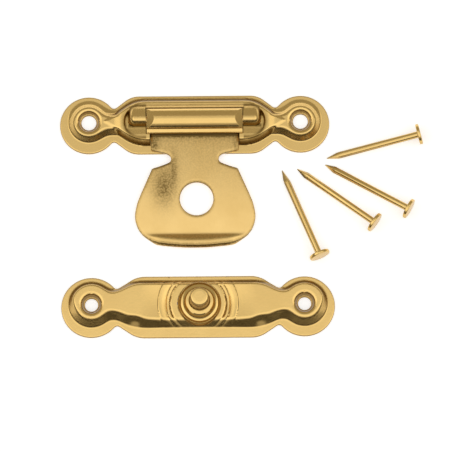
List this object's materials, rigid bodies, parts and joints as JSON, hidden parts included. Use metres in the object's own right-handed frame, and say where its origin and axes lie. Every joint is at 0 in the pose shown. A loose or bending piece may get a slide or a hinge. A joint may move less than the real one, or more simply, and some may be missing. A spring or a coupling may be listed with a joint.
{
  "type": "case lock",
  "caption": "Small brass-plated case lock: hinged snap hasp on a pressed plate, a catch plate with a stud, and loose nails.",
  "frame": {"origin": "midway between the hinge plate's two nail holes, on its back face", "axes": "+X along the plates, +Y away from the flap's tip, +Z out of the surface that the pieces lie on"},
  "size_m": [0.0485, 0.0328, 0.0056],
  "materials": {
    "plate_brass": "bright plated, pressed sheet",
    "flap_brass": "plated, lightly brushed face",
    "pin_brass": "drawn wire, plated",
    "spring_steel": "rolled spring strip",
    "nail_brass": "plated wire, upset head"
  },
  "bodies": {
    "plates": {"hinge_plate": "plate_brass", "hinge_pin": "pin_brass", "leaf_spring": "spring_steel", "catch_plate": "plate_brass", "nail_1": "nail_brass", "nail_2": "nail_brass", "nail_3": "nail_brass", "nail_4": "nail_brass"},
    "flap": {"hasp_flap": "flap_brass"}
  },
  "joints": [
    {"name": "flap_hinge", "type": "hinge", "parent": "plates", "child": "flap", "pos_m": [0, 0, 0.0019], "axis": [-1, 0, 0], "range_deg": [0, 180]}
  ]
}
